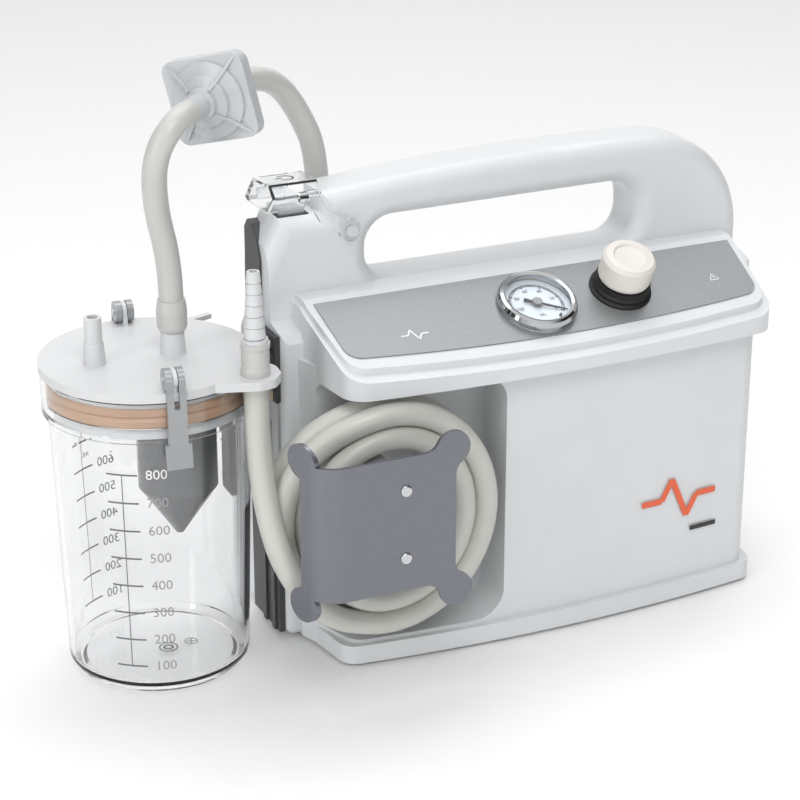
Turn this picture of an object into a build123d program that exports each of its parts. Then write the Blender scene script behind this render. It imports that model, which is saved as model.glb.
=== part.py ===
"""Portable medical suction pump with its collection jar, filter, patient hose and hose winder.

Millimetres, +Z up.  The origin is the middle of the footprint, on the surface the pump stands on.
The front, with the control panel and the coiled hose, faces -Y, and the jar hangs on the -X side.
"""
from build123d import *
from math import cos, pi, radians, sin, sqrt, tan
import os

os.makedirs("parts", exist_ok=True)

# ---------------------------------------------------------------- driving dimensions
overall_length = 395.0      # jar lid's left edge to the housing's right side
overall_depth = 158.0       # hose winder's face to the rear lid clip
wall = 3.0                  # housing wall
foot_height = 2.0           # rubber feet below the housing
running_gap = 0.4           # between pieces that move past each other

# housing
housing_half = 138.5        # half the width of housing and handle
mid_x = overall_length / 2 - housing_half
left_x = mid_x - housing_half
right_x = mid_x + housing_half
front_y = -overall_depth / 2
column_y = front_y + 81.0   # front of the side columns
pillar_y = front_y + 96.0   # front of the handle pillars
seam_y = front_y + 112.0    # joint between the two casings
handle_rear_y = pillar_y + 34.0
rear_y = front_y + 150.0
sill_z = 187.0              # bottom of the hand opening
grip_z = 219.5              # underside of the grip
grip_left_x = mid_x - 83.5
grip_right_x = mid_x + 74.0
handle_top_z = 244.0
handle_left_z = 236.5
deck_z = 226.0              # ledge that the power button stands on
deck_end_x = left_x + 30.0

# front box, shelf and plinth, in plan
box_front_y = front_y + 43.0
box_half_front = 117.0
box_half_rear = 130.0
front_bow = 7.0             # how far the front bulges from corner to middle
shelf_z = 150.0             # underside of the shelf
shelf_lip = 3.5             # step between the shelf's rim and its outer band
plinth_z = 12.0

# sloping control panel
panel_slope = 24.0
panel_rear_y = front_y + 82.5
panel_rear_z = 185.5
panel_half_rear = 121.0
panel_half_front = 118.0
panel_depth = 42.0          # along the slope, at the corners
overlay_thick = 0.8

# hose recess in the front box
recess_right_x = 24.5
recess_floor_y = front_y + 70.0
recess_bottom_z = 14.0

# places on the panel plane, from the middle of its rear edge
gauge_at = (-7.5, -26.5)
gauge_bore = 19.3
knob_at = (42.5, -24.6)
stem_bore = 6.2

# power switch and its flip-up cover
button_x = left_x + 16.0
button_y = seam_y - 1.0
button_half = 8.0
pivot_x = mid_x - 95.5
pivot_z = handle_top_z - 26.5
pin_radius = 1.6
inlet_x = mid_x - 91.5      # suction elbow behind the left pillar
inlet_y = handle_rear_y + 13.0
inlet_z = 200.0

# collection jar
jar_x = -overall_length / 2 + 54.0
jar_y = front_y + 100.0
jar_base_z = 0.6
jar_base_radius = 46.6
jar_neck_radius = 50.3
jar_wall = 2.5
neck_z = 134.0
collar_radius = 53.4
collar_z = 139.5            # clear rim that the clips hook under
collar_top_z = 160.2
rim_inner = 51.0
jar_top_z = 147.0
gasket_top_z = 157.0
lid_z = 161.0
lid_top_z = 165.5
lid_radius = 54.0

# hose, coil and winder
hose_radius = 6.25
hose_bore = 3.5
ear_x = jar_x + 39.0
ear_y = jar_y - 46.5
coil_x = -41.5
coil_z = 83.5
coil_front_y = front_y + 28.0
coil_rear_y = front_y + 67.0
rivet_x = -49.0
rivet_heights = (78.5, 114.5)

# motor and pump
motor_y = seam_y + 4.0
motor_z = 52.0
crank_throw = 3.0


def slope_z(y):
    """Height of the panel plane at a given y."""
    return panel_rear_z + (y - panel_rear_y) * tan(radians(panel_slope))


panel_plane = Plane(
    origin=(mid_x, panel_rear_y, panel_rear_z),
    x_dir=(1, 0, 0),
    z_dir=(0, -sin(radians(panel_slope)), cos(radians(panel_slope))),
)


# the handle's long crown runs into its right shoulder as one smooth curve
crown_x = mid_x + 31.0
crown_rise = handle_top_z - handle_left_z
crown_radius = ((crown_x - deck_end_x) ** 2 + crown_rise**2) / (2 * crown_rise)
shoulder_radius = 56.0
shoulder_x = right_x - shoulder_radius
centre_gap = crown_radius - shoulder_radius
shoulder_z = handle_top_z - crown_radius + sqrt(centre_gap**2 - (shoulder_x - crown_x) ** 2)
handle_join = (
    crown_x + (shoulder_x - crown_x) * crown_radius / centre_gap,
    shoulder_z + sqrt(shoulder_radius**2 - ((shoulder_x - crown_x) * shoulder_radius / centre_gap) ** 2),
)


def lies_at(edge, y):
    """True for an edge that lies in the upright plane at this y."""
    return all(abs(edge.position_at(t).Y - y) < 0.01 for t in (0, 0.5, 1))


def on_grip(edge):
    """True for an edge round the hand opening or along the top of the handle."""
    middle = edge.center()
    beside_opening = grip_left_x - 5 < middle.X < grip_right_x + 5 and middle.Z > sill_z - 1
    return beside_opening or middle.Z > deck_z - 20


# ---------------------------------------------------------------- housing
def housing_blank(inset):
    """Housing and handle: front outline, end outline and plan crossed, every wall moved in."""
    with BuildPart() as blank:
        with BuildSketch(Plane.XZ.offset(-rear_y)):
            with BuildLine():
                Polyline(
                    (deck_end_x, handle_left_z),
                    (deck_end_x, deck_z),
                    (left_x + 7, deck_z),
                    (left_x, deck_z - 14),
                    (left_x, foot_height),
                    (right_x, foot_height),
                    (right_x, shoulder_z),
                )
                RadiusArc((right_x, shoulder_z), handle_join, -shoulder_radius)
                RadiusArc(handle_join, (deck_end_x, handle_left_z), -crown_radius)
            make_face()
            with BuildLine():
                FilletPolyline(
                    (grip_left_x, sill_z),
                    (grip_right_x, sill_z),
                    (grip_right_x, grip_z + 1),
                    (grip_left_x, grip_z),
                    radius=[14, 14, 14, 15],
                    close=True,
                )
            make_face(mode=Mode.SUBTRACT)
            if inset:
                offset(amount=-inset, mode=Mode.REPLACE)
        extrude(amount=rear_y - column_y + 20)
        with BuildSketch(Plane.YZ.offset(left_x - 1)):
            with BuildLine():
                extra = 0.7 * inset     # thicker walls where the edges are well rounded
                Polyline(
                    (column_y, foot_height),
                    (column_y, 166),
                    (column_y + 3, 171),
                    (pillar_y + extra, 174),
                    (pillar_y + extra, handle_top_z + 20),
                    (handle_rear_y - extra, handle_top_z + 20),
                    (handle_rear_y - extra, sill_z - 12),
                    (rear_y, 150),
                    (rear_y, foot_height),
                    close=True,
                )
            make_face()
            if inset:
                offset(amount=-inset, mode=Mode.REPLACE)
        extrude(amount=2 * housing_half + 2, mode=Mode.INTERSECT)
        with BuildSketch(Plane.XY):
            with BuildLine():
                FilletPolyline(
                    (left_x, column_y),
                    (right_x, column_y),
                    (right_x, rear_y - 12),
                    (right_x - 5, rear_y),
                    (left_x + 5, rear_y),
                    (left_x, rear_y - 12),
                    radius=[5, 5, 9, 5, 5, 9],
                    close=True,
                )
            make_face()
            if inset:
                offset(amount=-inset, mode=Mode.REPLACE)
        extrude(amount=handle_top_z + 40, mode=Mode.INTERSECT)
        if not inset:
            grip_faces = (pillar_y, handle_rear_y)
            fillet(
                blank.edges().filter_by(
                    lambda edge: on_grip(edge) and any(lies_at(edge, y) for y in grip_faces)
                ),
                radius=9,
            )
            fillet(blank.edges().filter_by(lambda edge: lies_at(edge, rear_y)), radius=6)
    return blank.part


def front_block(inset):
    """Bowed front box with the shelf that carries the control panel, every wall moved in."""

    def tapered_plan(front_half, corner_y, rear_half, corner_radius):
        middle_y = corner_y - front_bow
        with BuildSketch() as plan:
            with BuildLine():
                Polyline(
                    (mid_x - front_half, corner_y),
                    (mid_x - rear_half, column_y),
                    (mid_x - rear_half, pillar_y + 3),
                    (mid_x + rear_half, pillar_y + 3),
                    (mid_x + rear_half, column_y),
                    (mid_x + front_half, corner_y),
                )
                ThreePointArc(
                    (mid_x - front_half, corner_y),
                    (mid_x, middle_y),
                    (mid_x + front_half, corner_y),
                )
            make_face()
            corners = plan.vertices().group_by(Axis.Y)[0]
            fillet(corners, radius=corner_radius)
            if inset:
                offset(amount=-inset, mode=Mode.REPLACE)
        return plan.sketch

    box_plan = tapered_plan(box_half_front, box_front_y, box_half_rear, 10)
    band_plan = tapered_plan(122.0, box_front_y - 10, 127.0, 13)
    rim_plan = tapered_plan(119.5, box_front_y - 5, 125.0, 11)
    top_drop = inset / cos(radians(panel_slope))

    def below_slope(drop):
        """Everything below the panel plane and below the flat ledge behind it."""
        with BuildPart() as wedge:
            with BuildSketch(Plane.YZ.offset(left_x - 20)):
                with BuildLine():
                    ledge_y = panel_rear_y + 3.4
                    Polyline(
                        (front_y - 10, -10),
                        (front_y - 10, slope_z(front_y - 10) - drop),
                        (ledge_y, slope_z(ledge_y) - drop),
                        (pillar_y + 10, slope_z(ledge_y) - drop),
                        (pillar_y + 10, -10),
                        close=True,
                    )
                make_face()
            extrude(amount=2 * housing_half + 40)
        return wedge.part

    with BuildPart() as band:
        with BuildSketch(Plane.XY.offset(shelf_z + inset)):
            add(band_plan)
        extrude(amount=60)
        add(below_slope(shelf_lip + top_drop), mode=Mode.INTERSECT)
    with BuildPart() as rim:
        with BuildSketch(Plane.XY.offset(shelf_z + inset)):
            add(rim_plan)
        extrude(amount=60)
        add(below_slope(top_drop), mode=Mode.INTERSECT)
    with BuildPart() as block:
        with BuildSketch(Plane.XY.offset(foot_height + inset)):
            add(box_plan)
        extrude(amount=shelf_z + 8 - foot_height - inset)
        add(band.part)
        add(rim.part)
    return block.part


def hose_recess(grow):
    """Pocket in the front box that the coiled hose lies in, grown by a wall for the cavity behind."""
    with BuildPart() as pocket:
        with BuildSketch(Plane.XZ.offset(-(recess_floor_y + grow))):
            with BuildLine():
                FilletPolyline(
                    (left_x - 20, recess_bottom_z - grow),
                    (recess_right_x + grow, recess_bottom_z - grow),
                    (recess_right_x + grow, shelf_z + grow),
                    (left_x - 20, shelf_z + grow),
                    radius=[0.5, 16 + grow, 14 + grow, 0.5],
                    close=True,
                )
            make_face()
        extrude(amount=80)
        floor_edges = pocket.edges().group_by(Axis.Y)[-1]
        fillet(floor_edges, radius=9 + grow)
    return pocket.part


outer_blank = housing_blank(0)

with BuildPart() as cavity:
    add(housing_blank(wall))
    add(front_block(wall))
    add(hose_recess(wall), mode=Mode.SUBTRACT)

with BuildSketch() as plinth_plan:
    with BuildLine():
        Polyline(
            (mid_x - 122.5, box_front_y - 2),
            (mid_x - 128, column_y + 1),
            (mid_x + 128, column_y + 1),
            (mid_x + 122.5, box_front_y - 2),
        )
        ThreePointArc(
            (mid_x - 122.5, box_front_y - 2),
            (mid_x, box_front_y - 10.5),
            (mid_x + 122.5, box_front_y - 2),
        )
    make_face()
    fillet(plinth_plan.vertices().group_by(Axis.Y)[0], radius=10)

with BuildPart() as front_casing:
    add(outer_blank)
    add(front_block(0))
    add(hose_recess(0), mode=Mode.SUBTRACT)
    with BuildSketch(Plane.XY.offset(foot_height)):
        add(plinth_plan.sketch)
    extrude(amount=plinth_z - foot_height)
    add(cavity.part, mode=Mode.SUBTRACT)
    split(bisect_by=Plane.XZ.offset(-seam_y), keep=Keep.TOP)
    with Locations(panel_plane):
        with Locations((*gauge_at, 0)):
            Cylinder(radius=gauge_bore, height=30, mode=Mode.SUBTRACT)
        with Locations((*knob_at, 0)):
            Cylinder(radius=stem_bore, height=30, mode=Mode.SUBTRACT)
    with Locations((button_x, button_y, deck_z)):
        Box(2 * button_half + 1, 2 * button_half + 1, 12, mode=Mode.SUBTRACT)
    with BuildSketch(Plane.XZ.offset(-pillar_y - wall - 1)):
        with Locations((pivot_x, pivot_z)):
            Circle(pin_radius)
    extrude(amount=20, mode=Mode.SUBTRACT)
    with BuildSketch(Plane.XZ.offset(-recess_floor_y - wall - 1)):
        for height in rivet_heights:
            with Locations((rivet_x, height)):
                Circle(2.2)
    extrude(amount=wall + 2, mode=Mode.SUBTRACT)
front_casing.part.label = "front_casing"
export_step(front_casing.part, "parts/front_casing.step")
print("front casing", front_casing.part.is_valid, len(front_casing.part.solids()))

# ---------------------------------------------------------------- rear casing
power_inlet_x = right_x - 22.0
power_inlet_z = 46.0
screw_places = [(x, z) for x in (left_x + 30, right_x - 20) for z in (22, 148)]

with BuildPart() as rear_casing:
    add(outer_blank)
    add(cavity.part, mode=Mode.SUBTRACT)
    split(bisect_by=Plane.XZ.offset(-seam_y), keep=Keep.BOTTOM)
    with Locations((button_x, button_y, deck_z)):
        Box(2 * button_half + 1, 2 * button_half + 1, 12, mode=Mode.SUBTRACT)
    with BuildSketch(Plane.XZ.offset(-handle_rear_y + wall + 1)):
        with Locations((pivot_x, pivot_z)):
            Circle(pin_radius)
    extrude(amount=-20, mode=Mode.SUBTRACT)
    with BuildSketch(Plane.XZ.offset(-handle_rear_y - 1)):
        with Locations((inlet_x, inlet_z)):
            Circle(4)
    extrude(amount=12, mode=Mode.SUBTRACT)
    with BuildSketch(Plane.XZ.offset(-rear_y - 1)):
        with Locations((power_inlet_x, power_inlet_z)):
            RectangleRounded(28, 20, 3)
        with Locations(*screw_places):
            Circle(2.2)
        with Locations((mid_x - 20, 105)):
            with GridLocations(60, 7, 2, 8):
                SlotOverall(46, 3)
    extrude(amount=wall + 2, mode=Mode.SUBTRACT)
rear_casing.part.label = "rear_casing"
export_step(rear_casing.part, "parts/rear_casing.step")
print("rear casing", rear_casing.part.is_valid, len(rear_casing.part.solids()))


def finish(piece, name):
    """Label a finished piece and write its file."""
    piece.label = name
    export_step(piece, f"parts/{name}.step")


def turned(plane, outline):
    """Solid of revolution: outline holds (radius, height) points, and the plane's z is the axis."""
    with BuildPart() as body:
        with BuildSketch(Plane.XZ):
            with BuildLine():
                Polyline(*outline, close=True)
            make_face()
        revolve(axis=Axis.Z)
    return plane.location * body.part


# ---------------------------------------------------------------- feet, screws and panel overlay
with BuildPart() as rubber_feet:
    with BuildSketch(Plane.XY):
        with Locations((mid_x, 14)):
            with GridLocations(2 * housing_half - 50, 76, 2, 2):
                Circle(7)
    extrude(amount=foot_height)
finish(rubber_feet.part, "rubber_feet")

with BuildPart() as casing_screws:
    with BuildSketch(Plane.XZ.offset(-rear_y)):
        with Locations(*screw_places):
            Circle(4)
    extrude(amount=-2.4)
    with BuildSketch(Plane.XZ.offset(-rear_y)):
        with Locations(*screw_places):
            Circle(2)
    extrude(amount=wall + 6)
    with BuildSketch(Plane.XZ.offset(-rear_y - 2.4)):
        with Locations(*screw_places):
            Rectangle(5, 1)
            Rectangle(1, 5)
    extrude(amount=1.2, mode=Mode.SUBTRACT)
finish(casing_screws.part, "casing_screws")

with BuildPart() as control_panel_overlay:
    with BuildSketch(panel_plane) as overlay_outline:
        with BuildLine():
            Polyline(
                (-panel_half_front, -panel_depth),
                (-panel_half_rear, -1),
                (panel_half_rear, -1),
                (panel_half_front, -panel_depth),
            )
            ThreePointArc(
                (-panel_half_front, -panel_depth),
                (0, -panel_depth - front_bow),
                (panel_half_front, -panel_depth),
            )
        make_face()
        front_corners = overlay_outline.vertices().sort_by(Axis.Y)[:2]
        fillet(front_corners, radius=9)
        with Locations(gauge_at):
            Circle(gauge_bore, mode=Mode.SUBTRACT)
        with Locations(knob_at):
            Circle(stem_bore, mode=Mode.SUBTRACT)
    extrude(amount=overlay_thick)
finish(control_panel_overlay.part, "control_panel_overlay")

# ---------------------------------------------------------------- dock on the jar side
dock_depth = 3.0
with BuildPart() as side_dock_panel:
    with BuildSketch(Plane.YZ.offset(left_x - dock_depth)):
        with BuildLine():
            Polyline(
                (column_y + 3, 5),
                (column_y + 3, 72),
                (column_y + 26, 72),
                (column_y + 26, 135),
                (column_y + 3, 135),
                (column_y + 3, 170),
                (column_y + 39, 170),
                (column_y + 39, 5),
                close=True,
            )
        make_face()
    extrude(amount=dock_depth)
    with BuildSketch(Plane.YZ.offset(left_x - dock_depth - 1.2)):
        with Locations((column_y + 9, 38.5), (column_y + 21, 38.5)):
            Rectangle(4, 67)
    extrude(amount=1.2)
    with BuildSketch(Plane.YZ.offset(left_x - 1.2)):
        with BuildLine():
            Polyline(
                (column_y + 25, 165),
                (column_y + 25, 204),
                (column_y + 29, 213),
                (column_y + 36, 220),
                (column_y + 41, 221),
                (column_y + 45, 216),
                (column_y + 45, 165),
                close=True,
            )
        make_face()
    extrude(amount=8)
    add(outer_blank, mode=Mode.SUBTRACT)
finish(side_dock_panel.part, "side_dock_panel")

with BuildPart() as dock_guide_plate:
    with BuildSketch(Plane.YZ.offset(left_x - 1.5)):
        with Locations((column_y + 14.5, 103.5)):
            RectangleRounded(21, 61, 2)
            SlotOverall(36, 6, rotation=90, mode=Mode.SUBTRACT)
    extrude(amount=1.5)
finish(dock_guide_plate.part, "dock_guide_plate")

with BuildPart() as dock_contact:
    with BuildSketch(Plane.YZ.offset(left_x - 4.5)):
        with Locations((column_y + 8, 138.2)):
            RectangleRounded(4, 6, 0.8)
    extrude(amount=1.5)
finish(dock_contact.part, "dock_contact")

with BuildPart() as jar_holder:
    with BuildSketch(Plane.XY.offset(collar_z + 3)):
        with Locations((left_x - dock_depth, jar_y)):
            Rectangle(15, 30, align=(Align.MAX, Align.CENTER))
        with Locations((jar_x, jar_y)):
            Circle(collar_radius + 0.05, mode=Mode.SUBTRACT)
    extrude(amount=18)
    with Locations((left_x - 8.7, jar_y + 27, 111)):
        Box(5.4, 12, 82)
    with Locations((left_x - 8.7, jar_y + 18, collar_z + 8)):
        Box(5.4, 12, 8)
    edges = jar_holder.edges().filter_by(Axis.Y).group_by(Axis.Z)[0]
    fillet(edges.sort_by(Axis.X)[0], radius=3)
finish(jar_holder.part, "jar_holder")

# ---------------------------------------------------------------- power inlet and switch
with BuildPart() as power_inlet:
    with BuildSketch(Plane.XZ.offset(-rear_y)):
        with Locations((power_inlet_x, power_inlet_z)):
            RectangleRounded(33, 25, 3)
    extrude(amount=-2)
    with BuildSketch(Plane.XZ.offset(-rear_y)):
        with Locations((power_inlet_x, power_inlet_z)):
            RectangleRounded(27.6, 19.6, 3)
    extrude(amount=18)
    with BuildSketch(Plane.XZ.offset(-rear_y - 2)):
        with Locations((power_inlet_x, power_inlet_z)):
            RectangleRounded(24, 16, 2)
    extrude(amount=17, mode=Mode.SUBTRACT)
finish(power_inlet.part, "power_inlet")

with BuildPart() as inlet_pins:
    with BuildSketch(Plane.XZ.offset(-rear_y + 15)):
        with Locations(*[(power_inlet_x + dx, power_inlet_z + dz) for dx, dz in ((-7, -1), (0, 3), (7, -1))]):
            Rectangle(2, 4)
    extrude(amount=-12)
finish(inlet_pins.part, "inlet_pins")

with BuildPart() as switch_body:
    with Locations((button_x, button_y, deck_z - 14)):
        Box(2 * button_half + 3, 2 * button_half + 3, 12)
    with Locations((button_x, button_y, deck_z - 12)):
        Box(2 * button_half + 0.8, 2 * button_half + 0.8, 24.6)
    with Locations((button_x, button_y, deck_z - 4)):
        Box(2 * button_half - 1.6, 2 * button_half - 1.6, 26, mode=Mode.SUBTRACT)
finish(switch_body.part, "switch_body")

with BuildPart() as power_button:
    with Locations((button_x, button_y, deck_z - 3)):
        Box(2 * button_half - 2.6, 2 * button_half - 2.6, 14)
    top_edges = power_button.faces().sort_by(Axis.Z)[-1].edges()
    fillet(top_edges, radius=1.2)
finish(power_button.part, "power_button")


def cover_arm(near_y, far_y, root):
    """Flat arm from the cover to its pivot ear, with the pin's hole, between two y planes."""
    with BuildPart() as arm:
        with BuildSketch(Plane.XZ.offset(-far_y)):
            with BuildLine():
                Polyline(*root, close=True)
            make_face()
            with Locations((pivot_x, pivot_z)):
                Circle(5.7)
                Circle(pin_radius + 0.05, mode=Mode.SUBTRACT)
        extrude(amount=far_y - near_y)
    return arm.part


cover_left_x = left_x + 2.0
cover_length = 26.0
with BuildPart() as switch_cover:
    with BuildSketch(Plane.YZ.offset(cover_left_x)):
        with BuildLine():
            Polyline(
                (pillar_y + 7, deck_z + 2.5),
                (pillar_y - 2, deck_z + 12),
                (pillar_y + 4, handle_top_z),
                (pillar_y + 24, handle_top_z - 1),
                (pillar_y + 36, deck_z + 4),
                (pillar_y + 33, deck_z + 2.5),
                close=True,
            )
        make_face()
    extrude(amount=cover_length)
    with BuildSketch(Plane.YZ.offset(cover_left_x + 2)):
        with BuildLine():
            Polyline(
                (pillar_y + 8, deck_z - 1),
                (pillar_y + 8, deck_z + 3.5),
                (pillar_y + 0.4, deck_z + 12),
                (pillar_y + 5, handle_top_z - 2),
                (pillar_y + 23, handle_top_z - 3),
                (pillar_y + 32, deck_z + 5),
                (pillar_y + 32, deck_z - 1),
                close=True,
            )
        make_face()
    extrude(amount=cover_length, mode=Mode.SUBTRACT)
    with Locations((cover_left_x + cover_length, pillar_y + 17, deck_z + 3)):
        Box(12, 60, 15, mode=Mode.SUBTRACT)
    add(
        cover_arm(
            pillar_y - 3.6,
            pillar_y - 0.6,
            [
                (cover_left_x + 14, deck_z + 14),
                (cover_left_x + 24, deck_z + 14.5),
                (pivot_x - 12, pivot_z + 12),
                (pivot_x - 1, pivot_z + 5.5),
                (pivot_x - 5.5, pivot_z - 1),
                (pivot_x - 16, pivot_z + 6),
                (cover_left_x + 19, deck_z + 8.5),
                (cover_left_x + 14, deck_z + 9),
            ],
        )
    )
    add(
        cover_arm(
            handle_rear_y + 0.6,
            handle_rear_y + 3.6,
            [
                (cover_left_x + 8, deck_z + 8),
                (cover_left_x + 20, deck_z + 8),
                (pivot_x - 1, pivot_z + 5.5),
                (pivot_x - 5.5, pivot_z - 1),
                (cover_left_x + 20, deck_z + 2.6),
                (cover_left_x + 8, deck_z + 2.6),
            ],
        )
    )
finish(switch_cover.part, "switch_cover")

with BuildPart() as cover_hinge_pins:
    for head_y, depth in ((pillar_y - 5, 9), (handle_rear_y + 5, -9)):
        with BuildSketch(Plane.XZ.offset(-head_y)):
            with Locations((pivot_x, pivot_z)):
                Circle(pin_radius)
        extrude(amount=-depth)
        with BuildSketch(Plane.XZ.offset(-head_y)):
            with Locations((pivot_x, pivot_z)):
                Circle(3)
        extrude(amount=1.0 if depth < 0 else -1.0)
finish(cover_hinge_pins.part, "cover_hinge_pins")

# ---------------------------------------------------------------- vacuum gauge
gauge_plane = Plane(panel_plane.location * Location((*gauge_at, 0)))
finish(
    turned(
        gauge_plane,
        [
            (0, -16), (18.8, -16), (18.8, 0.8), (21, 0.8), (21, 2.4), (19, 2.4), (19, 0.5), (17, 0.5),
            (17, -13), (0, -13),
        ],
    ),
    "gauge_case",
)
finish(
    turned(
        gauge_plane,
        [(19, 2.4), (21, 2.4), (21, 4.4), (20, 6.4), (18.6, 7), (17.2, 6.6), (17.2, 5.8), (19, 5.8)],
    ),
    "gauge_bezel",
)
finish(turned(gauge_plane, [(1.1, 0.5), (18.8, 0.5), (18.8, 1.1), (1.1, 1.1)]), "gauge_dial")
finish(turned(gauge_plane, [(0, 4.8), (18.8, 4.8), (18.8, 5.8), (0, 5.8)]), "gauge_lens")
finish(
    turned(gauge_plane, [(0.85, -10), (5, -10), (5, -13), (9, -13), (9, -8), (4, -4), (0.85, -4)]),
    "gauge_movement",
)

pointer_angle = -30.0       # at rest, on the zero end of the scale
with BuildPart() as gauge_pointer:
    with BuildSketch(gauge_plane.offset(2.2)):
        with BuildLine():
            Polyline((-7, -1), (-7, 1), (0, 0.7), (16, 0.3), (16, -0.3), (0, -0.7), close=True)
        make_face()
        Circle(2)
    extrude(amount=0.6)
    with BuildSketch(gauge_plane.offset(2.2)):
        Circle(0.8)
    extrude(amount=-11)
pointer_part = gauge_pointer.part.rotate(
    Axis(gauge_plane.origin, gauge_plane.z_dir), pointer_angle
)
finish(pointer_part, "gauge_pointer")

# ---------------------------------------------------------------- vacuum regulator
knob_plane = Plane(panel_plane.location * Location((*knob_at, 0)))
finish(
    turned(
        knob_plane,
        [
            (0, -34), (10, -34), (10, -3.2), (6.1, -3.2), (6.1, 5), (3.05, 5), (3.05, -10), (2.55, -10),
            (2.55, -28), (0, -28),
        ],
    ),
    "regulator_body",
)
finish(
    turned(
        knob_plane,
        [
            (6.2, 0.8), (16.5, 0.8), (16.5, 2), (15, 3), (15.6, 4.5), (14.6, 6), (14.6, 8.6), (6.2, 8.6),
        ],
    ),
    "regulator_boot",
)
with BuildPart() as regulator_knob:
    add(
        turned(
            knob_plane,
            [
                (0, -9), (3, -9), (3, 9.4), (13.4, 9.4), (14, 11), (14, 21.5), (12.6, 23.6), (9, 24), (8, 23),
                (0, 22.6),
            ],
        )
    )
finish(regulator_knob.part, "regulator_knob")
finish(
    turned(knob_plane, [(0, -26), (0.8, -25), (2.5, -20), (2.5, -10.2), (0, -10.2)]),
    "regulator_needle",
)

# ---------------------------------------------------------------- collection jar
jar_plane = Plane(origin=(jar_x, jar_y, 0))
neck_inner = jar_neck_radius - jar_wall
finish(
    turned(
        jar_plane,
        [
            (0, jar_base_z + 1.5), (38, jar_base_z + 1.5), (40, jar_base_z),
            (jar_base_radius - 3, jar_base_z), (jar_base_radius, jar_base_z + 4),
            (jar_neck_radius, neck_z), (jar_neck_radius, collar_z), (collar_radius - 0.8, collar_z),
            (collar_radius, collar_z + 0.8), (collar_radius, collar_top_z), (rim_inner, collar_top_z),
            (rim_inner, jar_top_z), (neck_inner, jar_top_z), (neck_inner, neck_z),
            (jar_base_radius - jar_wall, jar_base_z + 7),
            (jar_base_radius - jar_wall - 3, jar_base_z + 4.5), (0, jar_base_z + 4.5),
        ],
    ),
    "jar",
)
finish(
    turned(
        jar_plane,
        [
            (neck_inner, jar_top_z), (50.2, jar_top_z), (50.8, jar_top_z + 1), (50.8, jar_top_z + 3.5),
            (49.8, jar_top_z + 5), (50.8, jar_top_z + 6.5), (50.8, gasket_top_z - 1), (50.2, gasket_top_z),
            (neck_inner, gasket_top_z),
        ],
    ),
    "lid_gasket",
)

spout_x = jar_x - 27.2      # open patient spout
vacuum_x = jar_x + 12.8     # spout above the float valve
vacuum_y = jar_y - 2.0
clip_turn = 5.0
hinge_radius = 50.0
hinge_z = lid_top_z + 6.0
clip_half = 4.7
slot_half = 1.4


def clip_plane(side):
    """Upright plane through the jar's axis and one clip: x runs outward and the normal is tangent."""
    turn = radians(clip_turn)
    outward = (sin(turn) * side, cos(turn) * side, 0)
    tangent = (cos(turn) * side, -sin(turn) * side, 0)
    return Plane(origin=(jar_x, jar_y, 0), x_dir=outward, z_dir=tangent)


def clip_block(side, outline, half_width):
    """Outline of (radius, height) points, thickened both ways along the tangent."""
    with BuildPart() as block:
        with BuildSketch(clip_plane(side)):
            with BuildLine():
                Polyline(*outline, close=True)
            make_face()
        extrude(amount=half_width, both=True)
    return block.part


def clip_rod(side, radius, half_width):
    """Round bar along the clip's hinge axis."""
    with BuildPart() as rod:
        with BuildSketch(clip_plane(side)):
            with Locations((hinge_radius, hinge_z)):
                Circle(radius)
        extrude(amount=half_width, both=True)
    return rod.part


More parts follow.
